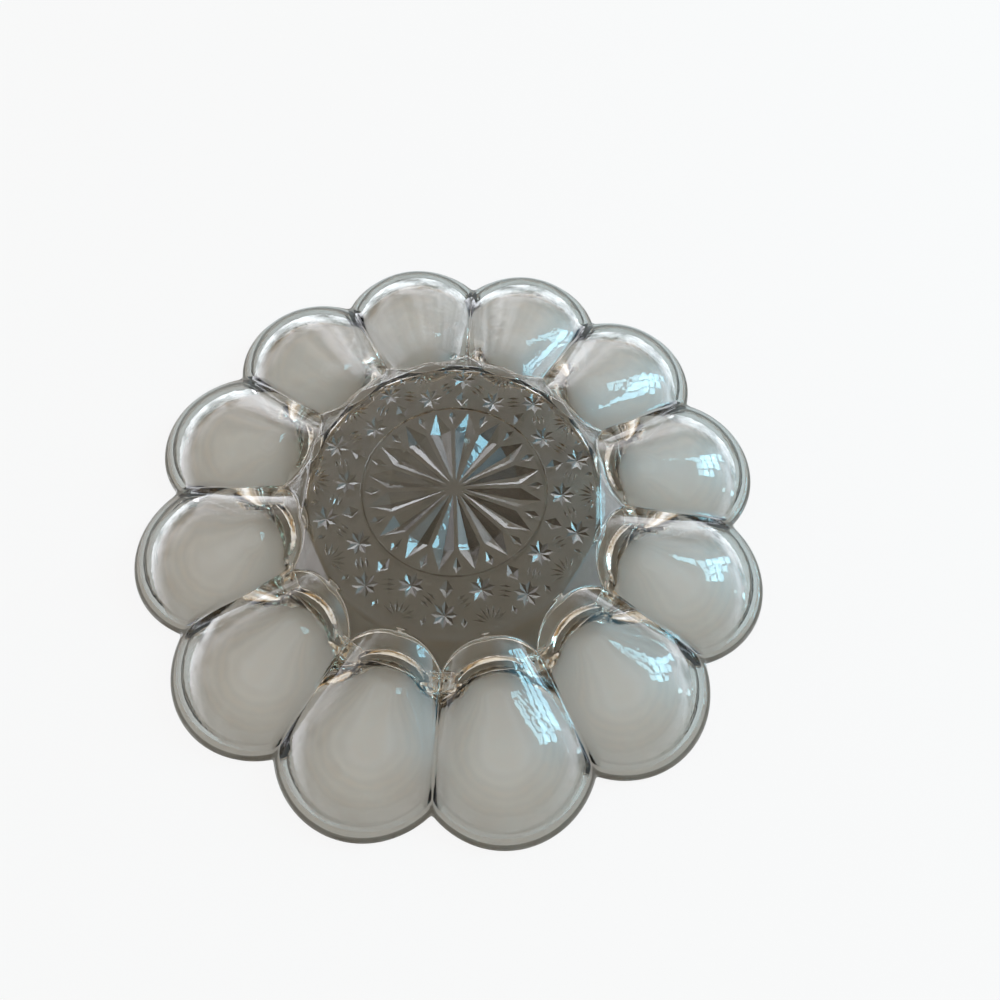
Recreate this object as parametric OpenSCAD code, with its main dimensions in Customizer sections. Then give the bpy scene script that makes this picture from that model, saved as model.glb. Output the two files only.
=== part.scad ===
// Deviled egg platter: one pressing of clear glass with twelve egg wells round a centre dish.
// It lies face down on its rim, as it does in the picture. The rim is on z = 0, the wells and the
// dish open towards -Z, and the flat base with its pressed star faces +Z. The origin is the centre
// of the rim. Turned half round about X, it stands on its base as it does in use.

/* [Plate] */
// Distance across the plate, from lobe tip to lobe tip
overall_d = 250; // [240:1:280]
// Height from the rim to the base
plate_h = 25; // [23:0.5:30]
// Thickness of the glass over the dish and the wells
glass_t = 4.5; // [3.5:0.1:5.5]

/* [Rim] */
// Radius of each scallop of the rim
lobe_r = 33.4; // [32:0.1:36]
// Height of the upright band along the rim
rim_h = 4.5; // [3.5:0.5:6]
// Width of the lip between a well and the edge of the rim
lip_w = 4.3; // [3:0.1:5.5]
// Width of the step between the rim band and the dome of a well
step_w = 0.6; // [0.4:0.1:1]

/* [Wells] */
// How far the broad end of a well's dome stays below the base
broad_drop = 2.5; // [1.5:0.5:4]
// How far the narrow end of a well's dome stays below the base
narrow_drop = 0.4; // [0.2:0.1:1]
// Distance from the plate's centre to the middle of the narrow end
narrow_c = 64; // [62:0.5:66]
// Distance from the plate's centre to where two neighbouring domes and a facet of the base meet
cusp_r = 69.5; // [68:0.5:72]
// Height of that meeting point above the rim
cusp_h = 14; // [12:0.5:15]
// Radius of the hollow at its narrow end
hollow_r = 15; // [13:0.5:16]
// Distance from the plate's centre to the middle of the hollow's narrow end
hollow_c = 77; // [76:0.5:79]

/* [Dish] */
// Distance from the centre to each straight edge of the twelve-sided base
base_r = 55; // [54:0.5:59]
// Radius of the disc that carries the star
disc_r = 54; // [52:0.5:54]
// Thickness of the glass under the base's facets
facet_t = 4; // [3:0.1:4.2]
// Radius of the dish's mouth between two wells
mouth_r = 67; // [65:0.5:67.5]
// Distance from the rim's plane up to the crest between the dish and a well
crest_h = 9; // [7:0.5:11]
// Thickness of that crest
crest_t = 4.5; // [3.5:0.1:6]
// How much thicker the crest's wall is on the dish's side at the floor
crest_draft = 2; // [1:0.5:3]

/* [Star] */
// Turn of the star against the ridges between the wells
star_turn = 17; // [0:1:22]
// Depth of the star's rays
ray_depth = 2.2; // [0.8:0.1:2.4]
// Distance from the centre to the inner tip of a ray
ray_in = 3; // [2.5:0.5:5]
// Distance from the centre to the widest part of a ray
ray_mid = 24.5; // [22:0.5:26]
// Distance from the centre to the outer tip of a ray
ray_out = 33; // [30:0.5:33.5]
// Half of the width of a ray
ray_w = 4; // [2:0.1:4.2]
// Distance from the centre to the inner tip of a tooth between two rays
tooth_in = 27.6; // [27:0.1:29]
// Distance from the centre to the widest part of a tooth
tooth_mid = 31.2; // [30:0.1:32]
// Distance from the centre to the outer tip of a tooth
tooth_out = 33.6; // [33:0.1:33.8]
// Half of the width of a tooth
tooth_w = 1.5; // [0.8:0.1:2]
// Depth of a tooth
tooth_depth = 0.8; // [0.5:0.1:1.5]
// Radius of the fine ring round the star
ring_r = 34.8; // [34.6:0.1:35]
// Depth of the ring, and half of its width
ring_depth = 0.5; // [0.3:0.1:0.6]
// Distance from the centre to the inner row of small stars
inner_row_r = 40.5; // [40.4:0.1:41]
// Distance from the centre to the outer row of small stars
outer_row_r = 48.8; // [48:0.1:48.9]
// Distance from the middle of a small star to its tips
burst_r = 4.9; // [3:0.1:5]
// Half of the width of a small star's grooves
burst_w = 0.9; // [0.5:0.1:1.2]
// Depth of the small stars
burst_depth = 0.9; // [0.5:0.1:1.2]

/* [Hidden] */

well_count = 12;
pitch = 360 / well_count;
ray_count = 16;
burst_count = 10;
burst_grooves = 4;
glass_color = [0.80, 0.90, 0.92];
arc_step = 7.5;
round_fn = 192;
cut_over = 1;

lobe_c = overall_d / 2 - lobe_r;
floor_z = plate_h - glass_t;
reach = overall_d;

// Radius of a ball whose crown is rise above a ring of radius half
function crown_ball(half, rise) = (half * half + rise * rise) / (2 * rise);

// The dome is wrapped round two balls: [distance from the centre, height of its middle, radius]
broad_top = plate_h - broad_drop;
broad_ball_r = crown_ball(lobe_r - step_w, broad_top - rim_h);
broad_ball = [lobe_c, broad_top - broad_ball_r, broad_ball_r];
narrow_top = plate_h - narrow_drop;
cusp_x = cusp_r * cos(pitch / 2);
cusp_y = cusp_r * sin(pitch / 2);
narrow_half = norm([cusp_x - narrow_c, cusp_y]);
narrow_ball_r = crown_ball(narrow_half, narrow_top - cusp_h);
narrow_ball = [narrow_c, narrow_top - narrow_ball_r, narrow_ball_r];

// The hollow is wrapped round two smaller balls in the same way
hollow_top = broad_top - glass_t;
hollow_ball_r = crown_ball(lobe_r - lip_w, hollow_top);
hollow_broad = [lobe_c, hollow_top - hollow_ball_r, hollow_ball_r];
hollow_narrow = [hollow_c, narrow_top - glass_t - hollow_r, hollow_r];

// Half outline of two balls and the cone that wraps them, as [distance from the axis, place on it]
function egg_profile(r1, r2, gap) =
    let (lean = asin((r2 - r1) / gap), n1 = ceil((90 - lean) / arc_step),
         n2 = ceil((90 + lean) / arc_step))
    concat(
        [for (i = [0:n1]) let (a = i * (90 - lean) / n1) [r1 * sin(a), -r1 * cos(a)]],
        [for (i = [0:n2]) let (a = 90 - lean + i * (90 + lean) / n2)
            [r2 * sin(a), gap - r2 * cos(a)]]
    );

// A smooth egg round two balls that lie in the XZ plane
module egg(small, large) {
    run = large[0] - small[0];
    drop = large[1] - small[1];
    translate([small[0], 0, small[1]])
        rotate([0, 90 - atan2(drop, run), 0])
            rotate_extrude($fn = round_fn)
                polygon(egg_profile(small[2], large[2], norm([run, drop])));
}

// The sector of the plate that one well fills, from the disc outwards
module sector() {
    difference() {
        linear_extrude(plate_h)
            polygon([[0, 0], reach * [cos(pitch / 2), -sin(pitch / 2)], [reach, 0],
                     reach * [cos(pitch / 2), sin(pitch / 2)]]);
        translate([0, 0, -cut_over])
            cylinder(h = plate_h + 2 * cut_over, r = disc_r, $fn = round_fn);
    }
}

// Distance that a facet of the base runs out for each millimetre that it falls
facet_run = (cusp_r - base_r) / (plate_h - cusp_h);

// One side of a twelve-sided block: flat on top at height top, where it reaches out to edge, with a
// facet that slopes down and out from there
module facet_side(edge, top) {
    foot = edge + facet_run * (top + cut_over);
    rotate([90, 0, 0])
        translate([0, 0, -reach])
            linear_extrude(2 * reach)
                polygon([[0, -cut_over], [foot, -cut_over], [edge, top], [0, top]]);
}

// The corner of that block that reaches into one well, between the facets on either side
module facet_corner(edge, top) {
    intersection() {
        rotate([0, 0, -pitch / 2])
            facet_side(edge, top);
        rotate([0, 0, pitch / 2])
            facet_side(edge, top);
    }
}

// Everything that the glass of one well covers, before it is hollowed
module well_body() {
    facet_corner(base_r, plate_h);
    difference() {
        egg(narrow_ball, broad_ball);
        translate([0, 0, rim_h - reach])
            cylinder(h = reach, r = reach, $fn = round_fn);
    }
    translate([lobe_c, 0, 0])
        cylinder(h = rim_h, r = lobe_r, $fn = round_fn);
}

// The dish's hollow: facets that follow the base's own, inside the round mouth, less the bulge that
// the narrow end of a well makes in the dish's wall
module dish_hollow() {
    inner_edge = base_r + facet_run * glass_t - norm([1, facet_run]) * facet_t;
    difference() {
        intersection() {
            facet_corner(inner_edge, floor_z);
            translate([0, 0, -cut_over])
                cylinder(h = plate_h, r = mouth_r, $fn = round_fn);
        }
        translate([hollow_c, 0, crest_h])
            cylinder(h = plate_h, r1 = hollow_r + crest_t,
                     r2 = hollow_r + crest_t + crest_draft * plate_h / (floor_z - crest_h),
                     $fn = round_fn);
    }
}

module egg_well(i) {
    color(glass_color)
        rotate([0, 0, (i - 1 / 2) * pitch])
            difference() {
                intersection() {
                    sector();
                    well_body();
                }
                dish_hollow();
                egg(hollow_narrow, hollow_broad);
            }
}

// A kite-shaped groove with four flat sides, sunk from z = 0, along X
module kite(from, mid, to, half_w, depth) {
    grow = (depth + cut_over) / depth;
    polyhedron(
        points = [
            [mid, 0, -depth],
            [mid + grow * (from - mid), 0, cut_over],
            [mid, -grow * half_w, cut_over],
            [mid + grow * (to - mid), 0, cut_over],
            [mid, grow * half_w, cut_over]
        ],
        faces = [[1, 2, 0], [2, 3, 0], [3, 4, 0], [4, 1, 0], [4, 3, 2, 1]]
    );
}

// A small star of crossed grooves
module burst() {
    for (j = [0:burst_grooves - 1])
        rotate([0, 0, j * 180 / burst_grooves])
            kite(-burst_r, 0, burst_r, burst_w, burst_depth);
}

// The large star: rays with a tooth between each two
module star() {
    for (j = [0:ray_count - 1]) {
        rotate([0, 0, j * 360 / ray_count])
            kite(ray_in, ray_mid, ray_out, ray_w, ray_depth);
        rotate([0, 0, (j + 1 / 2) * 360 / ray_count])
            kite(tooth_in, tooth_mid, tooth_out, tooth_w, tooth_depth);
    }
}

// The fine ring round the large star
module ring_groove() {
    grow = (ring_depth + cut_over) / ring_depth;
    rotate_extrude($fn = round_fn)
        polygon([[ring_r, -ring_depth], [ring_r + grow * ring_depth, cut_over],
                 [ring_r - grow * ring_depth, cut_over]]);
}

// Two staggered rows of small stars
module border() {
    for (j = [0:burst_count - 1]) {
        rotate([0, 0, j * 360 / burst_count])
            translate([inner_row_r, 0, 0])
                burst();
        rotate([0, 0, (j + 1 / 2) * 360 / burst_count])
            translate([outer_row_r, 0, 0])
                burst();
    }
}

module base_disc() {
    color(glass_color)
        difference() {
            translate([0, 0, floor_z])
                cylinder(h = glass_t, r = disc_r, $fn = round_fn);
            translate([0, 0, plate_h]) {
                rotate([0, 0, star_turn])
                    star();
                ring_groove();
                border();
            }
        }
}

function well_name(i) = str("egg_well_", i < 10 ? "0" : "", i);

base_disc();
for (i = [1:well_count])
    egg_well(i);
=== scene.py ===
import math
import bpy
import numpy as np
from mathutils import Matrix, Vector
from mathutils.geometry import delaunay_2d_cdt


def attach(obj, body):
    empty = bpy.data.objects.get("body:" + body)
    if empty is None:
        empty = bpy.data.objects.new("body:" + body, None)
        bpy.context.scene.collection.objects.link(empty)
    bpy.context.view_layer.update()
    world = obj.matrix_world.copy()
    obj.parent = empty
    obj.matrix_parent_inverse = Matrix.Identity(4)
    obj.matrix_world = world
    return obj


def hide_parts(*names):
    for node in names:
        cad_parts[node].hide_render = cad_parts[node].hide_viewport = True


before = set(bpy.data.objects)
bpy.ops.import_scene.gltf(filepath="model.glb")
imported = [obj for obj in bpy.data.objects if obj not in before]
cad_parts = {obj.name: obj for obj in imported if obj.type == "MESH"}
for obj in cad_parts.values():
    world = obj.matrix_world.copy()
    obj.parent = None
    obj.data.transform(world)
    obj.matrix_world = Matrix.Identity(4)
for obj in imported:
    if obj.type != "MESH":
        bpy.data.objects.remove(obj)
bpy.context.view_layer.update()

# %% [markdown]
# Deviled egg platter in pressed glass.
# The real plate is one pressing of clear glass: twelve egg-shaped wells round a centre dish, with a star
# pressed in its flat base. It lies face down on its rim, so the domes of the wells and the star are on top.
# It could be dressed node by node, as the CAD model is cut up. But clear glass shows every inner face, and
# faces left inside it would bend light where the real plate doesn't. So the plate is built here as one
# closed skin, to the CAD model's sizes: an outer surface, a rounded rim and an inner surface.

MM = 0.001
WELLS = 12
PITCH = 2 * math.pi / WELLS      # turn from one well to the next

# All sizes are in millimetres, and radii run from the centre of the plate
TOP = 25.0                       # height of the flat base over the rim's plane
GLASS = 4.5                      # thickness of the glass
DISH_FLOOR = TOP - GLASS         # height of the dish's flat middle, on the inside of the glass
BASE_R = 55.0                    # each straight edge of the twelve-sided base
DISC_R = 54.0                    # disc that carries the pressed star
CUSP_R, CUSP_H = 69.5, 14.0      # cusp: a point between two wells that facet and narrow balls run through
FACET_RUN = (CUSP_R - BASE_R) / (TOP - CUSP_H)      # how far a facet runs out as it falls by one
print("a facet of the base runs out", round(FACET_RUN, 3), "as it falls by one")

# %% [markdown]
# The domes and hollows of the wells. Each real well holds half an egg, and shows here from below as a smooth
# dome. It could be sculpted, or lofted from sections. A designer draws such an egg as two balls, a broad one
# and a narrow one, wrapped in a cone, and that gives its height everywhere: the height of the wrap at a
# point is the greatest of all the balls in between. A maximum over a run of balls keeps the egg smooth, with
# no seam where the balls meet the cone.

# %% Egg surfaces
TIP_R = 125.0                    # tip of each lobe of the rim
LOBE_R = 33.4                    # radius of each scallop of the rim
LOBE_C = TIP_R - LOBE_R          # middle of each scallop
RIM_H, STEP, LIP = 4.5, 0.6, 4.3            # height of the rim's band, and widths of its step and its lip
BROAD_DROP, NARROW_DROP = 2.5, 0.4          # how far a dome's two ends stay below the base
NARROW_C = 64.0                  # middle of a dome's narrow end
HOLLOW_R, HOLLOW_C = 15.0, 77.0  # radius and middle of the narrow end of a well's hollow
EGG_BALLS = 97                   # balls in the run from the narrow end to the broad one
NO_BALL = -50.0                  # height that stands for none, where a ball doesn't reach


def crown_ball(half, rise):
    """Radius of a ball whose crown stands rise above a ring of radius half: (half^2 + rise^2) / (2 rise)."""
    return (half * half + rise * rise) / (2 * rise)


def egg_height(x, y, narrow, broad):
    """Height over (x, y) of the wrap of two balls (place, height of the middle, radius): the greatest
    middle + sqrt(radius^2 - distance^2) over balls that run evenly from the narrow one to the broad one."""
    best = np.full(x.shape, NO_BALL)
    for share in np.linspace(0, 1, EGG_BALLS):
        place, mid, radius = (a + share * (b - a) for a, b in zip(narrow, broad))
        room = radius * radius - (x - place) ** 2 - y * y
        best = np.maximum(best, np.where(room > 0, mid + np.sqrt(np.maximum(room, 0)), NO_BALL))
    return best


broad_ball_r = crown_ball(LOBE_R - STEP, TOP - BROAD_DROP - RIM_H)
BROAD = (LOBE_C, TOP - BROAD_DROP - broad_ball_r, broad_ball_r)
cusp_x, cusp_y = CUSP_R * math.cos(PITCH / 2), CUSP_R * math.sin(PITCH / 2)
narrow_ball_r = crown_ball(math.hypot(cusp_x - NARROW_C, cusp_y), TOP - NARROW_DROP - CUSP_H)
NARROW = (NARROW_C, TOP - NARROW_DROP - narrow_ball_r, narrow_ball_r)
hollow_top = TOP - BROAD_DROP - GLASS
hollow_ball_r = crown_ball(LOBE_R - LIP, hollow_top)
HOLLOW_BROAD = (LOBE_C, hollow_top - hollow_ball_r, hollow_ball_r)
HOLLOW_NARROW = (HOLLOW_C, TOP - NARROW_DROP - GLASS - HOLLOW_R, HOLLOW_R)
print("dome balls", BROAD, NARROW)

# %% [markdown]
# Columns round the plate. The real plate repeats itself twelve times, once for each well. A square grid
# would cross the valleys between the domes in steps, so the skin is laid out on rays from the plate's axis,
# 44 to a well. They lie closest together where two wells meet, because the valleys and the notches of the
# rim are the narrowest forms on the plate.

# %% Columns
HALF_COLS = 22
COLS = WELLS * 2 * HALF_COLS
EVEN, CROWDED = 0.62, 0.38       # shares of the columns' spacing that are even and that crowd together


def sector_angles():
    """Angles of all columns round the plate, and their angles from the middle of their own well. The second
    are half a pitch times (0.62 u + 0.38 sin(90 degrees u)), for even steps of u from -1 to 1."""
    u = np.arange(-HALF_COLS, HALF_COLS) / HALF_COLS
    inside = PITCH / 2 * (EVEN * u + CROWDED * np.sin(u * math.pi / 2))
    middles = PITCH * (np.arange(WELLS) + 0.5)
    return (middles[:, None] + inside[None, :]).ravel(), np.tile(inside, WELLS)


THETA, ALPHA = sector_angles()
FOLDED = np.abs(ALPHA)           # angle from the well's middle, alike on its two sides
print("columns round the plate", COLS)

# %% [markdown]
# The rim's outline. The real rim has a round scallop for each well and a softened notch between each two.
# Circles could be joined as curves, but the grid needs one radius for each ray. So the far crossing of the
# ray with a scallop's circle is worked out for the own well and for the next one, and the greater counts.
# A soft maximum, which blends the two where they are nearly equal, rounds the notch. The same two helpers
# round every other crease of the plate.

# %% Outline of the rim
NOTCH_ROUND = 1.6                # width over which the notch is rounded
SHORT_ROOT = 1.0                 # what stands under the root where a ray misses a circle


def soft_max(a, b, width):
    """The greater of a and b, with the crease between them rounded over width."""
    blend = np.clip(0.5 + 0.5 * (a - b) / width, 0, 1)
    return b + (a - b) * blend + width * blend * (1 - blend)


def soft_min(a, b, width):
    """The lesser of a and b, with the corner between them rounded over width."""
    return -soft_max(-a, -b, width)


def scallop(inset):
    """Radius of the rim at each column, moved in by inset: the far crossing of the column's ray with a
    scallop's circle, c cos(a) + sqrt((R - inset)^2 - (c sin(a))^2). A ray that misses the next well's circle
    gets a short root, and then its own well's crossing is the greater."""
    def crossing(angle):
        room = (LOBE_R - inset) ** 2 - (LOBE_C * np.sin(angle)) ** 2
        return LOBE_C * np.cos(angle) + np.sqrt(np.maximum(room, SHORT_ROOT))
    return soft_max(crossing(FOLDED), crossing(PITCH - FOLDED), NOTCH_ROUND)


print("rim from notch to tip", scallop(0.0).min().round(2), "to", scallop(0.0).max().round(2))

# %% [markdown]
# The outer skin. On the real plate it has the domes, the valleys between them, and the flat base with a
# triangular facet that falls away between each two domes. Booleans could cut these together, but they leave
# hard seams and long thin faces, which show in glass. Here each form is a height over the grid, and the skin
# is the highest of them, with small rounds such as the mould leaves.

# %% Outer skin
CORNER_ROUND, FACET_ROUND = 0.5, 0.35       # rounds between two facets, and between a facet and a dome
VALLEY_ROUND, VALLEY_GROWTH = 1.3, 2.4      # round of the valley between two domes, and what the rim adds
VALLEY_FROM, VALLEY_RUN = 84.0, 24.0        # radius where it starts to grow, and over how far
BASE_OVER = 0.3                  # how far above the domes the base counts as showing in full


def two_eggs(r, narrow, broad):
    """Heights of the own egg and of the next well's egg, at a radius r on each column."""
    return (egg_height(r * np.cos(turn), r * np.sin(turn), narrow, broad)
            for turn in (FOLDED, PITCH - FOLDED))


def outer_height(r):
    """Height of the outer skin at a radius r on each column: the own dome, the next dome, and the facet that
    falls from the base's straight edge towards the cusp, joined by soft maxima and cut flat at the base. The
    balls between a dome's two ends lift the valley, so a facet ends about 3 mm before the cusp's radius. Also
    gives where the base shows: 1 on its flat and its facets, and 0 on a dome."""
    own, beside = two_eggs(r, NARROW, BROAD)
    facet, next_facet = (TOP - (r * np.cos(turn) - BASE_R) / FACET_RUN
                         for turn in (PITCH / 2 - FOLDED, PITCH / 2 + FOLDED))
    facet = soft_min(facet, next_facet, CORNER_ROUND)
    near_rim = np.clip((r - VALLEY_FROM) / VALLEY_RUN, 0, 1)
    domes = soft_max(own, beside, VALLEY_ROUND + VALLEY_GROWTH * near_rim)
    height = np.minimum(soft_max(domes, facet, FACET_ROUND), TOP)
    over = np.minimum(facet, TOP) - np.minimum(domes, TOP - BASE_OVER)
    return height, np.clip(over / BASE_OVER, 0, 1)


print("valley at the cusp's radius", outer_height(CUSP_R * np.ones(COLS))[0].min().round(2), "high")

# %% [markdown]
# The inner skin. Under the domes the real plate has the wells' hollows, and under the base a round dish
# whose wall bulges inwards round each well. It could be the outer skin moved in by the glass's thickness,
# but the real crests between dish and wells stand free, with no outer form over them. So it is worked out in
# the same way as the outer skin: hollows and dish are heights, and the highest one counts.

# %% Inner skin
FACET_T = 4.0                    # glass under the base's facets
MOUTH_R, MOUTH_SLOPE = 67.0, 8.0            # the dish's mouth, and how steeply its wall rises there
CREST_H, CREST_T, DRAFT = 9.0, 4.5, 2.0     # the crest's height and thickness, and what the floor adds
WALL_ROUND, FLOOR_ROUND, CREST_ROUND = 1.5, 1.8, 2.0
DISH_OVER = 4.0                  # how far above the wells the dish counts in full


def inner_height(r):
    """Height of the inner skin at a radius r on each column: the highest of the own hollow, the next hollow
    and the dish. The dish's wall runs a glass thickness below the base's facets, and keeps the crest's
    thickness from each hollow. Also gives each place's share of dish, from 0 in a well to 1."""
    own, beside = two_eggs(r, HOLLOW_NARROW, HOLLOW_BROAD)
    along = r * np.cos(PITCH / 2 - FOLDED)
    facet = TOP - (along - BASE_R + FACET_T * math.hypot(1, FACET_RUN)) / FACET_RUN
    mouth = (MOUTH_R - r) * MOUTH_SLOPE
    away = np.hypot(r * np.cos(FOLDED) - HOLLOW_C, r * np.sin(FOLDED))
    bulge = CREST_H + (away - HOLLOW_R - CREST_T) * (DISH_FLOOR - CREST_H) / DRAFT
    wall = soft_min(soft_min(facet, mouth, WALL_ROUND), np.maximum(bulge, CREST_H), WALL_ROUND)
    dish = soft_min(wall, np.full(r.shape, DISH_FLOOR), FLOOR_ROUND)
    wells = soft_max(own, beside, CREST_ROUND)
    height = np.maximum(soft_max(wells, dish, CREST_ROUND), 0.0)
    return height, np.clip((dish - wells) / DISH_OVER, 0, 1)


print("inner skin on the disc's edge", inner_height(DISC_R * np.ones(COLS))[0].min().round(2), "and higher")

# %% [markdown]
# The cuts of the star. On the real plate they are pressed grooves with flat sides, and every side is a small
# mirror, so their edges have to be true edges of the mesh. A bump in the material would have no outline, and
# a fine even grid would leave the edges ragged and break up the glints. So each cut is only a handful of
# points: an outline that stays level, and a keel point that is pushed down, which gives the flat sides.

# %% Cuts
KEEL_EDGES = [(0, 1), (1, 2), (2, 3), (3, 0), (4, 0), (4, 1), (4, 2), (4, 3)]


def turned(points, angle, shift=0.0):
    """Points (n, 2) moved by shift along X and then turned by angle about the plate's axis."""
    c, s = math.cos(angle), math.sin(angle)
    moved = np.asarray(points, float) + [shift, 0.0]
    return moved @ np.array([[c, s], [-s, c]])


class Pattern:
    """Points, edges and depths of all cuts, gathered for the triangulation."""

    def __init__(self):
        self.points, self.edges, self.depths = [], [], []

    def add(self, points, depths, edges):
        start = len(self.points)
        self.points += [tuple(p) for p in points]
        self.depths += list(depths)
        self.edges += [(start + a, start + b) for a, b in edges]


def kite(pattern, inner, mid, outer, half_w, depth, angle):
    """A groove that points to the plate's centre: a four-sided outline, deepest at its widest place."""
    outline = [(inner, 0), (mid, -half_w), (outer, 0), (mid, half_w), (mid, 0)]
    pattern.add(turned(outline, angle), [0, 0, 0, 0, depth], KEEL_EDGES)


def groove(pattern, start, end, half_w, depth):
    """A groove from start to end, both (x, y), whose widest and deepest place is halfway."""
    start, end = np.asarray(start), np.asarray(end)
    along = end - start
    across = np.array([-along[1], along[0]]) / np.hypot(*along) * half_w
    middle = (start + end) / 2
    pattern.add([start, middle - across, end, middle + across, middle], [0, 0, 0, 0, depth], KEEL_EDGES)


# %% [markdown]
# The small stars. Each one on the real plate is eight short grooves that meet in its middle. Crossed grooves
# would leave slivers where they overlap, so a small star is one outline of tips and notches round one low
# point, and its sixteen sides slope evenly down to it.

# %% Small stars
# Radii of the tips and of the notches between them, depth of the middle, and number of tips
BURST_R, BURST_NOTCH, BURST_DEPTH, BURST_RAYS = 4.9, 3.0, 1.15, 8


def burst(pattern, centre_r, angle):
    """A small star: its tips and the notches between them stay level, and its middle is pushed down, so
    each of its sixteen sides slopes evenly from the outline to the middle."""
    turn = np.arange(BURST_RAYS) * 2 * math.pi / BURST_RAYS
    notch = turn + math.pi / BURST_RAYS
    tips = np.stack([BURST_R * np.cos(turn), BURST_R * np.sin(turn)], 1)
    notches = np.stack([BURST_NOTCH * np.cos(notch), BURST_NOTCH * np.sin(notch)], 1)
    points = np.concatenate([[(0.0, 0.0)], tips, notches])
    n = BURST_RAYS
    edges = []
    for k in range(n):
        tip, right, left = 1 + k, 1 + n + k, 1 + n + (k - 1) % n
        edges += [(tip, right), (tip, left), (0, tip), (0, right)]
    pattern.add(turned(points, angle, centre_r), [BURST_DEPTH] + [0] * 2 * n, edges)


print("sides to a small star", 2 * BURST_RAYS)

# %% [markdown]
# The border of the star. On the real plate a crowd of small cuts fills the ring-shaped space between the
# large star and the edge of the base. Two staggered rows of small stars are a common filling for such a
# border. Fans, diamonds and short hatched lines take up the room between them, so that no place stays bare.

# %% Border and ring
BURSTS = 10
BURST_ROWS = (40.6, 48.7)        # radii of the two rows of small stars
FAN_R, FAN_LEANS = 53.4, range(-66, 67, 22)              # a fan's apex, and its lines' leans in degrees
FAN_IN, FAN_OUT, FAN_W, FAN_DEPTH = 1.6, 6.9, 0.55, 0.5  # each line's ends from the apex, half width, depth
DIAMOND = (36.0, 42.8, 2.5, 1.3)            # inner and outer tip, half width and depth
CHIP, CHIP_TURN = (49.9, 53.4, 1.1, 0.7), 0.56           # a small diamond, and its share of half a repeat
HATCHES = ((0.0, 5.3), (1.75, 5.9), (-1.75, 5.9))        # place across, and distance kept from the stars
HATCH_W, HATCH_DEPTH = 0.65, 0.55
RING_R, RING_W, RING_DEPTH, RING_STEPS = 34.8, 0.45, 0.5, 96            # radius, half width, depth and points


def border_fill(pattern, angle):
    """What lies between the small stars of one repeat: a fan at the edge of the disc, a diamond beside the
    ring, and on either side a small diamond and three hatched lines from the inner star to the outer one."""
    def at(radius, turn):
        return np.array([radius * math.cos(angle + turn), radius * math.sin(angle + turn)])
    half = math.pi / BURSTS
    apex = at(FAN_R, 0)
    for lean in FAN_LEANS:
        way = angle + math.pi + math.radians(lean)
        out = np.array([math.cos(way), math.sin(way)])
        groove(pattern, apex + FAN_IN * out, apex + FAN_OUT * out, FAN_W, FAN_DEPTH)
    groove(pattern, at(DIAMOND[0], half), at(DIAMOND[1], half), *DIAMOND[2:])
    for side in (-half, half):
        groove(pattern, at(CHIP[0], side * CHIP_TURN), at(CHIP[1], side * CHIP_TURN), *CHIP[2:])
        inner, outer = at(BURST_ROWS[0], 0), at(BURST_ROWS[1], side)
        way = (outer - inner) / np.hypot(*(outer - inner))
        across = np.array([-way[1], way[0]])
        for apart, trim in HATCHES:
            groove(pattern, inner + way * trim + across * apart, outer - way * trim + across * apart,
                   HATCH_W, HATCH_DEPTH)


def ring_groove(pattern):
    """The fine ring round the large star: a keel circle between two level circles."""
    turn = np.arange(RING_STEPS) * 2 * math.pi / RING_STEPS
    loop = [(i, (i + 1) % RING_STEPS) for i in range(RING_STEPS)]
    for radius, depth in ((RING_R - RING_W, 0), (RING_R, RING_DEPTH), (RING_R + RING_W, 0)):
        pattern.add(np.stack([radius * np.cos(turn), radius * np.sin(turn)], 1), [depth] * RING_STEPS, loop)


print("small stars in the border", BURSTS * len(BURST_ROWS))

# %% [markdown]
# The star's disc. The large star has sixteen long rays with a tooth between each two. All cuts could be
# joined by hand, point by point. A Delaunay triangulation that keeps the given edges does it in one go: it
# fills the disc with well-shaped triangles and leaves every outline of the pattern as it is.

# %% Star disc
RAYS = 16
RAY_TURN = math.radians(17)      # turn of the star against the ridges between the wells
# Inner tip, widest place, outer tip, half width and depth of a ray, and of a tooth
RAY_IN, RAY_MID, RAY_OUT, RAY_W, RAY_DEPTH = 3.0, 24.5, 33.0, 4.0, 2.2
TOOTH_IN, TOOTH_MID, TOOTH_OUT, TOOTH_W, TOOTH_DEPTH = 27.6, 31.2, 33.6, 1.5, 0.8
INSIDE_ONLY, MERGE = 1, 1e-5     # the triangulation's kind of output, and how near two points are one


def star_disc(border):
    """Triangulates the disc inside border (n, 2) with the whole pattern. Returns its points, its triangles,
    and for each point the numbers of the given points that it came from. The border's come first."""
    pattern = Pattern()
    n = len(border)
    pattern.add(border, [0] * n, [(i, (i + 1) % n) for i in range(n)])
    for k in range(RAYS):
        angle = RAY_TURN + k * 2 * math.pi / RAYS
        kite(pattern, RAY_IN, RAY_MID, RAY_OUT, RAY_W, RAY_DEPTH, angle)
        kite(pattern, TOOTH_IN, TOOTH_MID, TOOTH_OUT, TOOTH_W, TOOTH_DEPTH, angle + math.pi / RAYS)
    ring_groove(pattern)
    for k in range(BURSTS):
        border_fill(pattern, k * 2 * math.pi / BURSTS)
        for row, radius in enumerate(BURST_ROWS):
            burst(pattern, radius, (k + row / 2) * 2 * math.pi / BURSTS)
    out, _, faces, origin, _, _ = delaunay_2d_cdt([Vector(p) for p in pattern.points], pattern.edges, [],
                                                  INSIDE_ONLY, MERGE)
    depth = np.array([pattern.depths[came[0]] if came else 0.0 for came in origin])
    flat = np.array([tuple(p) for p in out])
    return np.column_stack([flat, TOP - depth]), np.array([tuple(f) for f in faces]), origin


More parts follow.
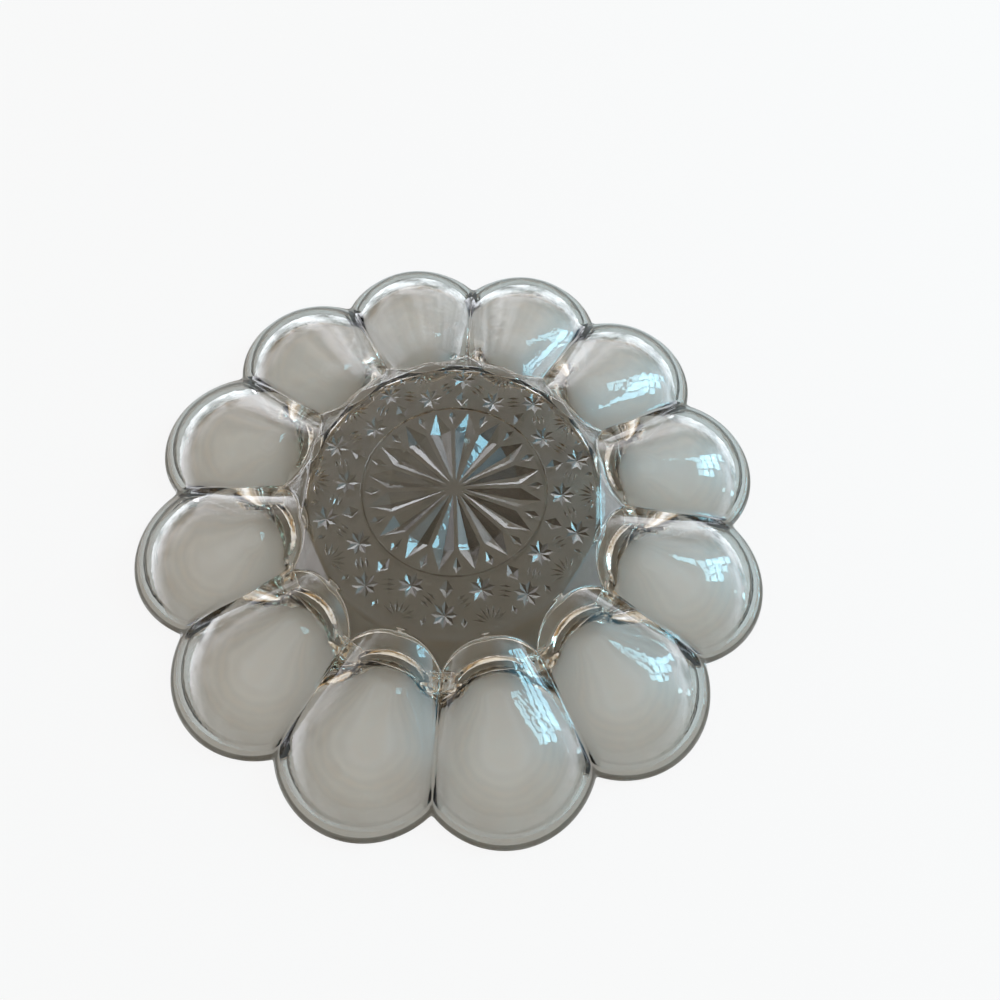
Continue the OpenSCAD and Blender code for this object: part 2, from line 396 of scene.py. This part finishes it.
def star_on_skin(border, first_new):
    """The star disc numbered for the whole skin: a point that came from the border is that point of the
    skin, and the others count on from first_new. Returns the new points and the triangles."""
    points, faces, origin = star_disc(border)
    own = np.array([min((c for c in came if c < COLS), default=-1) for came in origin])
    new = own < 0
    number = np.where(new, first_new + np.cumsum(new) - 1, own)
    print("star disc", len(points), "points", len(faces), "triangles")
    return points[new], number[faces]


# %% [markdown]
# The rings of the skin. The real plate is one closed surface, so one run of rings goes out from the star's
# border over the domes, round the rim, and back in over the hollows to the middle of the dish. Two shells
# with a rim bridged between them would give the same form, but leave seams to close. The rings lie close
# together on facets, rounds and crests, and further apart on the domes. Each point also keeps its share of
# dish and of base, for the painted shade of the glass.

# %% Rings of the skin
EDGE_IN, EDGE_DROP, EDGE_OUT = 0.25, 0.03, 0.2      # soft edge of the base: rows before, on and past it
FACET_END, CREST_END = CUSP_R + 2.0, CUSP_R + 6.0   # the close rows of the outer and inner skin end here
FLOOR_R = DISC_R - 5.0                              # the rows of the inner skin end here, on the floor
FACET_ROWS, DOME_ROWS, HOLLOW_ROWS, CREST_ROWS = 38, 30, 26, 56
RIM_ROWS = ((0.25, 0.97), (0.06, 0.88), (0.0, 0.72), (0.0, 0.4), (0.0, 0.2), (0.12, 0.09), (0.4, 0.02),
            (0.8, 0.0))          # inset from the rim's outline, and share of the band's height
LIP_ROWS, LIP_PAINTED_SHADOW = (1.8, 2.8, 3.6), 0.8          # insets on the flat lip, and its share of the dish's painted shade, a painted shadow round the rim
FLOOR_ROWS = (42.0, 30.0, 18.0, 8.0)


def ring(radius, height):
    """One ring of the skin as (columns, 3), from a radius and a height at each column."""
    radius = np.broadcast_to(radius, THETA.shape)
    height = np.broadcast_to(height, THETA.shape)
    return np.stack([radius * np.cos(THETA), radius * np.sin(THETA), height], 1)


def between(start, end, steps):
    """Rows of radii that run evenly from start to end, the first one left out."""
    return [start + (end - start) * share for share in np.linspace(0, 1, steps + 1)[1:]]


def skin_rings():
    """All rings in order, from the star's border to the middle of the dish, with each point's share of dish
    and share of base."""
    none, full = np.zeros(COLS), np.ones(COLS)
    edge_line = BASE_R / np.cos(PITCH / 2 - FOLDED)
    foot, lip = scallop(STEP), scallop(LIP)
    rings = [ring(DISC_R, TOP), ring(edge_line - EDGE_IN, TOP), ring(edge_line, TOP - EDGE_DROP)]
    base = [full] * len(rings)
    for r in between(edge_line + EDGE_OUT, FACET_END, FACET_ROWS) + between(FACET_END, foot, DOME_ROWS):
        height, shows = outer_height(r * full)
        rings.append(ring(r, height))
        base.append(shows)
    band = outer_height(foot)[0]
    rings += [ring(scallop(inset), band * share) for inset, share in RIM_ROWS]
    dish = [none] * len(rings)
    for inset in LIP_ROWS:
        rings.append(ring(scallop(inset), 0.0))
        dish.append(LIP_PAINTED_SHADOW * full)
    for r in [lip] + between(lip, CREST_END, HOLLOW_ROWS) + between(CREST_END, FLOOR_R, CREST_ROWS):
        height, share = inner_height(r * full)
        rings.append(ring(r, height))
        dish.append(share)
    for r in FLOOR_ROWS:
        rings.append(ring(r, DISH_FLOOR))
        dish.append(full)
    base += [none] * (len(rings) - len(base))
    print("rings of the skin", len(rings))
    return np.array(rings), np.array(dish), np.array(base)


# %% [markdown]
# The shade of the facets. In the real star every side of a cut bends another part of the surroundings into
# view, so bright and dark sides lie next to each other. Over a plain floor the surroundings are all alike,
# and the sides would hardly differ. A shade that followed the view would slide over the glass as one walks
# round it. So each side gets a fixed painted shade from the way it faces and from its place round the disc,
# and the base's flat and its large facets get the painted shade of level ground.

# %% Shade of the facets
# Painted shade: how light or dark each side of a cut is painted, as if lit from one side.
BRIGHT_AZ = 60.0                 # the way that the star's lightest sides face, in degrees
SHADE_MEAN, SHADE_SWING = 0.5, 0.3
LEVEL_SLOPE, FLAT_SHADE = 0.02, 0.28        # slope under which a face counts as level, and its shade


def facet_shade(corners):
    """How dark each triangle (n, 3, 3) of the star is painted, from 0 to 1, as painted shade. A level one has
    the flat shade, and the others have 0.5 - 0.3 cos(facing - bright side) - 0.3 sin(facing - place round the
    disc), so that the two sides of every cut differ."""
    normal = np.cross(corners[:, 1] - corners[:, 0], corners[:, 2] - corners[:, 0])
    middle = corners.mean(axis=1)
    slope = np.hypot(normal[:, 0], normal[:, 1]) / np.abs(normal[:, 2])
    facing = np.arctan2(normal[:, 1], normal[:, 0])
    place = np.arctan2(middle[:, 1], middle[:, 0])
    shade = (SHADE_MEAN - SHADE_SWING * np.cos(facing - math.radians(BRIGHT_AZ))
             - SHADE_SWING * np.sin(facing - place))
    return np.where(slope > LEVEL_SLOPE, np.clip(shade, 0, 1), FLAT_SHADE)


# %% [markdown]
# The glass body. Every ring has the same columns, so neighbouring rings join in quads. The star closes the
# skin on top and a fan of triangles closes the dish. The whole mesh is shaded smooth, because glass with
# depth needs one even shell, and the edges inside the star are marked sharp, so its sides stay flat.

# %% Glass body
def attribute(mesh, name, kind, domain, values):
    """Keeps one value for each point, edge or face of a mesh."""
    mesh.attributes.new(name, kind, domain).data.foreach_set("value", values)


def glass_body():
    """The closed skin of the plate as one mesh, with its shares of dish and of painted facet shade."""
    rings, dish, base = skin_rings()
    count = len(rings)
    index = np.arange(count * COLS).reshape(count, COLS)
    after = np.roll(index, -1, axis=1)
    quads = np.stack([index[:-1], index[1:], after[1:], after[:-1]], 2).reshape(-1, 4)
    middle = count * COLS
    fan = np.stack([index[-1], np.full(COLS, middle), after[-1]], 1)
    star_points, star = star_on_skin(rings[0][:, :2], middle + 1)
    points = np.vstack([rings.reshape(-1, 3), [[0, 0, DISH_FLOOR]], star_points])
    mesh = bpy.data.meshes.new("pressed_glass")
    mesh.from_pydata((points * MM).tolist(), [], quads.tolist() + fan.tolist() + star.tolist())
    mesh.polygons.foreach_set("use_smooth", np.ones(len(mesh.polygons), bool))
    ends = np.empty(2 * len(mesh.edges), int)
    mesh.edges.foreach_get("vertices", ends)
    number = np.arange(len(points))
    in_star = (number < COLS) | (number > middle)
    attribute(mesh, "sharp_edge", "BOOLEAN", "EDGE", in_star[ends.reshape(-1, 2)].all(axis=1))
    # The share of dish sets a painted shade: the dish is painted darker, and the lip gets a painted shadow
    # round the rim.
    attribute(mesh, "dish", "FLOAT", "POINT", np.concatenate([
        dish.ravel(), [1.0], np.zeros(len(star_points))]))
    # The facet value is a painted shade on the star's sides, and on the base's flat and facets.
    attribute(mesh, "facet", "FLOAT", "FACE", np.concatenate([
        FLAT_SHADE * base.ravel()[quads].mean(axis=1), np.zeros(len(fan)), facet_shade(points[star])]))
    mesh.update()
    body = bpy.data.objects.new("glass_platter", mesh)
    bpy.context.collection.objects.link(body)
    print("glass body", len(mesh.vertices), "points", len(mesh.polygons), "faces")
    return body


platter = glass_body()
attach(platter, "root")
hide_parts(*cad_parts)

# %% [markdown]
# Clear glass. The real glass is colourless, a little warm where it is thick, and slightly wavy from the
# mould. A Glass shader could do it, but the Principled one keeps colour, index and roughness on sockets that
# an export understands. Its values come first, with small helpers that make nodes and join them.

# %% Glass values and node helpers
# CLEAR is the glass's own colour. The other two are painted shade, one for the dish and one for the cuts.
CLEAR, DISH_PAINTED_SHADE, FACET_PAINTED_SHADE = (0.99, 0.995, 0.99, 1), (0.30, 0.265, 0.205, 1), (0.14, 0.115, 0.09, 1)
DEEP_COLOR, DENSITY = (0.58, 0.52, 0.40, 1), 22.0        # what the glass leaves of light that travels inside
ROUGHNESS, INDEX = 0.015, 1.52
WAVE_DEPTH, RIPPLE_DEPTH, WAVINESS = 0.0012, 0.00018, 0.25      # metres, and the strength of both


def node(tree, kind, **values):
    """A new shader node with its input sockets set by name."""
    made = tree.nodes.new(kind)
    for name, value in values.items():
        made.inputs[name].default_value = value
    return made


def kept_value(tree, name):
    """The value that the mesh keeps under a name."""
    made = tree.nodes.new("ShaderNodeAttribute")
    made.attribute_name = name
    return made.outputs["Fac"]


def color_mix(tree, share, color):
    """A Mix node whose colour B takes over from A by a share. A is still to be set or linked."""
    made = tree.nodes.new("ShaderNodeMix")
    made.data_type = "RGBA"
    made.inputs["B"].default_value = color
    tree.links.new(share, made.inputs["Factor"])
    return made


def wavy(tree, pattern, depth):
    """A Bump node over a noise pattern that is fixed to the plate."""
    coords = tree.nodes.new("ShaderNodeTexCoord")
    made = node(tree, "ShaderNodeBump", Strength=WAVINESS, Distance=depth)
    tree.links.new(coords.outputs["Object"], pattern.inputs["Vector"])
    tree.links.new(pattern.outputs["Fac"], made.inputs["Height"])
    return made


# %% [markdown]
# The glass put together. Three things are added to the plain shader. Light that travels far inside is
# absorbed a little. The dish and the star's facets are darkened from the values kept on the mesh, a painted
# shade. And a soft bump at two scales gives the waviness of the mould and a fine ripple, which break up the
# straight edges of the glints.

# %% Glass material
def clear_glass():
    """Principled glass with two painted shades from the mesh, two scales of bump, and absorption by depth."""
    material = bpy.data.materials.new("clear_pressed_glass")
    material.use_nodes = True
    tree = material.node_tree
    shader = tree.nodes["Principled BSDF"]
    shader.inputs["Roughness"].default_value = ROUGHNESS
    shader.inputs["IOR"].default_value = INDEX
    shader.inputs["Transmission Weight"].default_value = 1.0
    # Painted shade: the dish and the lip are painted darker by their kept share of dish.
    dish_painted_shade = color_mix(tree, kept_value(tree, "dish"), DISH_PAINTED_SHADE)
    dish_painted_shade.inputs["A"].default_value = CLEAR
    # Painted light and shade on the sides of the cuts, by the kept facet value.
    cut = color_mix(tree, kept_value(tree, "facet"), FACET_PAINTED_SHADE)
    tree.links.new(dish_painted_shade.outputs["Result"], cut.inputs["A"])
    tree.links.new(cut.outputs["Result"], shader.inputs["Base Color"])
    broad = node(tree, "ShaderNodeTexNoise", Scale=55.0, Detail=2.0, Roughness=0.4)
    fine = node(tree, "ShaderNodeTexNoise", Scale=240.0, Detail=1.0, Roughness=0.5, Distortion=0.8)
    waves, ripples = wavy(tree, broad, WAVE_DEPTH), wavy(tree, fine, RIPPLE_DEPTH)
    tree.links.new(ripples.outputs["Normal"], waves.inputs["Normal"])
    tree.links.new(waves.outputs["Normal"], shader.inputs["Normal"])
    depth = node(tree, "ShaderNodeVolumeAbsorption", Color=DEEP_COLOR, Density=DENSITY)
    tree.links.new(depth.outputs["Volume"], tree.nodes["Material Output"].inputs["Volume"])
    return material


platter.data.materials.append(clear_glass())
print("glass material", platter.data.materials[0].name)

# %% [markdown]
# The floor. The surface that the plate lies on is plain and pale. A floor of plain paint goes grey in soft
# light, and one that glows would shine up through the glass and wash out the cuts. So it is pale paint,
# which keeps the plate's shadow, mixed with a white glow that is nearly all for the camera's own rays.

# %% Floor
SEEN_WHITE, GLASS_WHITE = 0.88, 0.02        # share of glow for the camera, and for gloss and glass
FLOOR_HALF, FLOOR_DROP = 3.0, 0.0002        # metres: half its side, and its depth below the rim's plane
FLOOR_PAINT, FLOOR_ROUGHNESS = (0.78, 0.76, 0.74, 1), 0.9


def math_node(tree, operation, *values):
    """The output of a Math node whose inputs are numbers or other nodes' outputs."""
    made = tree.nodes.new("ShaderNodeMath")
    made.operation = operation
    for socket, value in zip(made.inputs, values):
        if isinstance(value, (int, float)):
            socket.default_value = value
        else:
            tree.links.new(value, socket)
    return made.outputs[0]


def chosen(tree, share, first, second):
    """The second shader where share is 1, and the first where it is 0."""
    made = tree.nodes.new("ShaderNodeMixShader")
    for socket, link in zip(made.inputs, (share, first, second)):
        tree.links.new(link, socket)
    return made.outputs["Shader"]


def floor_material():
    """A pale paint, mixed with a white glow by the kind of ray: the camera's, or gloss and glass."""
    material = bpy.data.materials.new("pale_floor")
    material.use_nodes = True
    tree = material.node_tree
    paint = tree.nodes["Principled BSDF"]
    paint.inputs["Base Color"].default_value = FLOOR_PAINT
    paint.inputs["Roughness"].default_value = FLOOR_ROUGHNESS
    glow = tree.nodes.new("ShaderNodeEmission")
    path = tree.nodes.new("ShaderNodeLightPath")
    seen = math_node(tree, "MULTIPLY", path.outputs["Is Camera Ray"], SEEN_WHITE)
    bent = math_node(tree, "MAXIMUM", path.outputs["Is Glossy Ray"], path.outputs["Is Transmission Ray"])
    share = math_node(tree, "MAXIMUM", seen, math_node(tree, "MULTIPLY", bent, GLASS_WHITE))
    tree.links.new(chosen(tree, share, paint.outputs["BSDF"], glow.outputs["Emission"]),
                   tree.nodes["Material Output"].inputs["Surface"])
    return material


def floor():
    """A wide flat square just under the rim's plane."""
    corners = [(x * FLOOR_HALF, y * FLOOR_HALF, -FLOOR_DROP) for x, y in ((-1, -1), (1, -1), (1, 1), (-1, 1))]
    mesh = bpy.data.meshes.new("floor")
    mesh.from_pydata(corners, [], [(0, 1, 2, 3)])
    mesh.materials.append(floor_material())
    made = bpy.data.objects.new("floor", mesh)
    bpy.context.collection.objects.link(made)
    print("floor of", 2 * FLOOR_HALF, "metres")


floor()

# %% [markdown]
# The window. The real glass mirrors a window at the right, as small cool panes on the domes and on single
# sides of the star. One soft lamp would give round, blurred glints, so every pane is a rectangular lamp of
# its own, with dark bars between them. The window's place was worked out by mirroring the camera's rays in
# the sides that glint. A small low one reaches the steep places that the first can't.

# %% Window
WINDOW_AZ, WINDOW_EL, WINDOW_FAR = 17.0, 36.0, 1.3       # direction in degrees, and distance in metres
PANE, PANE_GAP, PANE_POWER = 0.14, 0.04, 0.76            # side of a pane and width of a bar in metres, watts
PANES = ((-1, 1), (0, 1), (1, 1), (-1, 0), (0, 0), (1, 0), (0, -1), (1, -1), (1, -2))    # column and row
PANE_COLOR = (0.37, 0.80, 1.0)
LOW_AZ, LOW_EL, LOW_FAR = -1, 4, 1.4
LOW_SIZE, LOW_POWER, LOW_COLOR = (0.10, 0.12), 0.35, (0.50, 0.88, 1.0)


def from_angles(azimuth, elevation, distance):
    """The point at distance in the direction azimuth, elevation, both in degrees."""
    a, e = math.radians(azimuth), math.radians(elevation)
    return Vector((math.cos(a) * math.cos(e), math.sin(a) * math.cos(e), math.sin(e))) * distance


def to_plate(place):
    """The turn of a lamp whose light goes from place to the middle of the plate."""
    return (-place).to_track_quat("-Z", "Y").to_matrix().to_4x4()


def lamp(name, place, turn, size, power, color):
    """A rectangular area lamp of a size (width, height) at place, with a turn."""
    data = bpy.data.lights.new(name, "AREA")
    data.shape = "RECTANGLE"
    data.size, data.size_y = size
    data.energy, data.color = power, color
    made = bpy.data.objects.new(name, data)
    made.matrix_world = Matrix.Translation(place) @ turn
    bpy.context.collection.objects.link(made)


def window():
    """Panes in one plane that faces the plate, with bars between them. The lower corner is hidden, so the
    panes step down to one side."""
    middle = from_angles(WINDOW_AZ, WINDOW_EL, WINDOW_FAR)
    side = Vector((-math.sin(math.radians(WINDOW_AZ)), math.cos(math.radians(WINDOW_AZ)), 0))
    rise = middle.normalized().cross(side)
    for k, (column, row) in enumerate(PANES):
        place = middle + side * column * (PANE + PANE_GAP) + rise * row * (PANE + PANE_GAP)
        lamp("pane_%d" % k, place, to_plate(middle), (PANE, PANE), PANE_POWER, PANE_COLOR)
    print("window of", len(PANES), "panes at", tuple(round(v, 3) for v in middle))


window()
low_place = from_angles(LOW_AZ, LOW_EL, LOW_FAR)
lamp("low_window", low_place, to_plate(low_place), LOW_SIZE, LOW_POWER, LOW_COLOR)

# %% [markdown]
# The room. Clear glass shows little of itself: it mirrors and bends what stands round it. A photograph of a
# room could stand there, but a few plain bands of colour do, and stay under control. Gloss mirrors a far
# side that is bright and a near side that is dark, in patches as in a furnished room, with a cool haze of
# sky round the window. What the glass bends into view is pale, amber and dark by height, and the thick walls
# draw that out into their stripes. All other light is an even warm grey, which leaves the floor plain.

# %% Colours of the room
# What the glass bends into view, by height: 0.5 is the horizon and 1 is straight up
BENT_BANDS = ((0.0, (0.42, 0.38, 0.33)), (0.50, (0.42, 0.38, 0.33)), (0.53, (0.10, 0.07, 0.045)),
              (0.57, (0.74, 0.50, 0.27)), (0.61, (0.07, 0.05, 0.03)), (0.67, (0.95, 0.85, 0.68)),
              (0.72, (0.08, 0.055, 0.03)), (0.77, (0.95, 0.62, 0.30)), (0.81, (0.05, 0.035, 0.02)),
              (0.855, (1.30, 1.20, 1.04)), (0.90, (0.50, 0.47, 0.44)), (0.94, (1.40, 1.44, 1.50)),
              (0.965, (1.20, 1.10, 0.98)), (0.985, (0.95, 0.92, 0.88)), (1.0, (1.20, 1.18, 1.14)))
# What the gloss mirrors, from the far horizon (0) over the sides (a third) to high over the near side (1)
GLOSS_BANDS = ((0.0, (1.40, 1.46, 1.56)), (0.26, (1.10, 1.13, 1.20)), (0.40, (0.80, 0.80, 0.86)),
               (0.50, (0.42, 0.42, 0.45)), (0.60, (0.20, 0.20, 0.21)), (0.73, (0.07, 0.07, 0.07)),
               (1.0, (0.05, 0.05, 0.05)))
NEAR_AND_UP, GLOSS_LEVEL = (0.0, -0.45, 0.9), 5.5
FRONT_SCALE, FRONT_START = 0.667, 0.333     # make -0.5 to 1 along that direction 0 to 1 on the bands
# Cool haze of the sky that the gloss mirrors round the window, by the cosine of the angle to its middle
HAZE_BANDS = ((0.0, (0.0, 0.0, 0.0)), (0.64, (0.0, 0.0, 0.0)), (0.86, (0.15, 0.50, 0.75)),
              (0.96, (0.45, 1.50, 2.10)), (1.0, (0.50, 1.70, 2.40)))
PATCH_CONTRAST, PATCH_LEVEL, DARK_PATCH = 5.0, -1.9, (0.10, 0.10, 0.11)
EVEN_GREY, EVEN_LEVEL = (0.66, 0.65, 0.63), 0.85
print("bands of colour in the room", len(BENT_BANDS), len(GLOSS_BANDS), len(HAZE_BANDS))


# %% [markdown]
# Helpers for the room. A picture of a room could give these colours, but would be one more file to keep. A
# colour ramp gives a colour to any number from 0 to 1, and a dot product gives such a number for a ray: how
# far it points one way.

# %% World helpers
def dot(tree, direction, toward):
    """How far a direction points toward a fixed one: the dot product of the two."""
    made = tree.nodes.new("ShaderNodeVectorMath")
    made.operation = "DOT_PRODUCT"
    tree.links.new(direction, made.inputs[0])
    made.inputs[1].default_value = toward
    return made.outputs["Value"]


def bands(tree, value, stops):
    """A colour ramp over value, with a colour at each stop."""
    made = tree.nodes.new("ShaderNodeValToRGB")
    ramp = made.color_ramp.elements
    ramp[0].position, ramp[1].position = stops[0][0], stops[-1][0]
    ramp[0].color, ramp[1].color = (*stops[0][1], 1), (*stops[-1][1], 1)
    for place, color in stops[1:-1]:
        ramp.new(place).color = (*color, 1)
    tree.links.new(value, made.inputs["Fac"])
    return made.outputs["Color"]


def background(tree, strength, color):
    """A Background shader of a strength, whose colour is a value or another node's output."""
    made = node(tree, "ShaderNodeBackground", Strength=strength)
    if isinstance(color, tuple):
        made.inputs["Color"].default_value = (*color, 1)
    else:
        tree.links.new(color, made.inputs["Color"])
    return made.outputs["Background"]


# %% [markdown]
# The room put together. One world for all rays would stripe the floor as it does the glass. So each ray is
# asked what it is, one that gloss mirrors, one that glass bends, one straight from the camera or any other,
# and each kind sees its own room.

# %% Room
def mirrored_room(tree, direction):
    """What the gloss mirrors: bands from the far side to the near side, in patches, and the haze added."""
    up_front = math_node(tree, "MULTIPLY_ADD", dot(tree, direction, NEAR_AND_UP), FRONT_SCALE, FRONT_START)
    bright = background(tree, GLOSS_LEVEL, bands(tree, up_front, GLOSS_BANDS))
    clutter = node(tree, "ShaderNodeTexNoise", Scale=2.4, Detail=3.0, Roughness=0.55)
    tree.links.new(direction, clutter.inputs["Vector"])
    patches = math_node(tree, "MULTIPLY_ADD", clutter.outputs["Fac"], PATCH_CONTRAST, PATCH_LEVEL)
    patches.node.use_clamp = True
    to_window = dot(tree, direction, from_angles(WINDOW_AZ, WINDOW_EL, 1.0))
    both = tree.nodes.new("ShaderNodeAddShader")
    tree.links.new(chosen(tree, patches, background(tree, 1.0, DARK_PATCH), bright), both.inputs[0])
    tree.links.new(background(tree, 1.0, bands(tree, to_window, HAZE_BANDS)), both.inputs[1])
    return both.outputs["Shader"]


def room():
    """World by the kind of ray: the camera sees white, gloss mirrors the room, glass bends its bands into
    view, and all other light is an even warm grey."""
    world = bpy.data.worlds.new("room")
    world.use_nodes = True
    tree = world.node_tree
    tree.nodes.remove(tree.nodes["Background"])
    direction = tree.nodes.new("ShaderNodeTexCoord").outputs["Generated"]
    split = tree.nodes.new("ShaderNodeSeparateXYZ")
    tree.links.new(direction, split.inputs["Vector"])
    height = math_node(tree, "MULTIPLY_ADD", split.outputs["Z"], 0.5, 0.5)
    rays = tree.nodes.new("ShaderNodeLightPath").outputs
    shade = background(tree, EVEN_LEVEL, EVEN_GREY)
    for kind, seen in (("Is Glossy Ray", mirrored_room(tree, direction)),
                       ("Is Transmission Ray", background(tree, 1.0, bands(tree, height, BENT_BANDS))),
                       ("Is Camera Ray", background(tree, 1.0, (1.0, 1.0, 1.0)))):
        shade = chosen(tree, rays[kind], shade, seen)
    tree.links.new(shade, tree.nodes["World Output"].inputs["Surface"])
    bpy.context.scene.world = world
    print("room of", len(tree.nodes), "nodes")


room()
bpy.context.scene.view_settings.view_transform = "Standard"

# %% [markdown]
# The camera. It stands where the photograph was taken. It could be placed by eye, but the rim's notches and
# scallops give it exactly: its place, turn and lens were solved from where these lie in the picture. It
# looks steeply down, a little turned, through a phone's wide lens.

# %% Camera
FOCAL_PX, FRAME_PX, SENSOR = 689.49, 1000.0, 36.0   # lens and picture in pixels, and sensor in millimetres
ELEVATION, ROLL = 1.1481, 0.0831                    # radians
DISTANCE, SIDE, RISE = 281.91, -17.92, -5.68        # millimetres
PHASE = math.radians(1.62)       # turn of the plate's notches in the picture
NEAREST = 0.01                   # metres from the eye where the view starts


def camera():
    """Looks along minus back; its eye is back * distance moved by the side and rise of the view."""
    back = Vector((0, -math.cos(ELEVATION), math.sin(ELEVATION)))
    right = Vector((1, 0, 0))
    up = back.cross(right)
    c, s = math.cos(ROLL), math.sin(ROLL)
    right_r, up_r = c * right + s * up, -s * right + c * up
    eye = back * DISTANCE - right_r * SIDE - up_r * RISE
    turn = Matrix.Rotation(-PHASE, 3, "Z")
    axes = Matrix((turn @ right_r, turn @ up_r, turn @ back)).transposed()
    data = bpy.data.cameras.new("camera")
    data.sensor_width = SENSOR
    data.lens = FOCAL_PX * SENSOR / FRAME_PX
    data.clip_start = NEAREST
    made = bpy.data.objects.new("camera", data)
    made.matrix_world = Matrix.Translation(turn @ eye * MM) @ axes.to_4x4()
    bpy.context.collection.objects.link(made)
    bpy.context.scene.camera = made
    print("camera at", tuple(round(v, 4) for v in made.location))


camera()
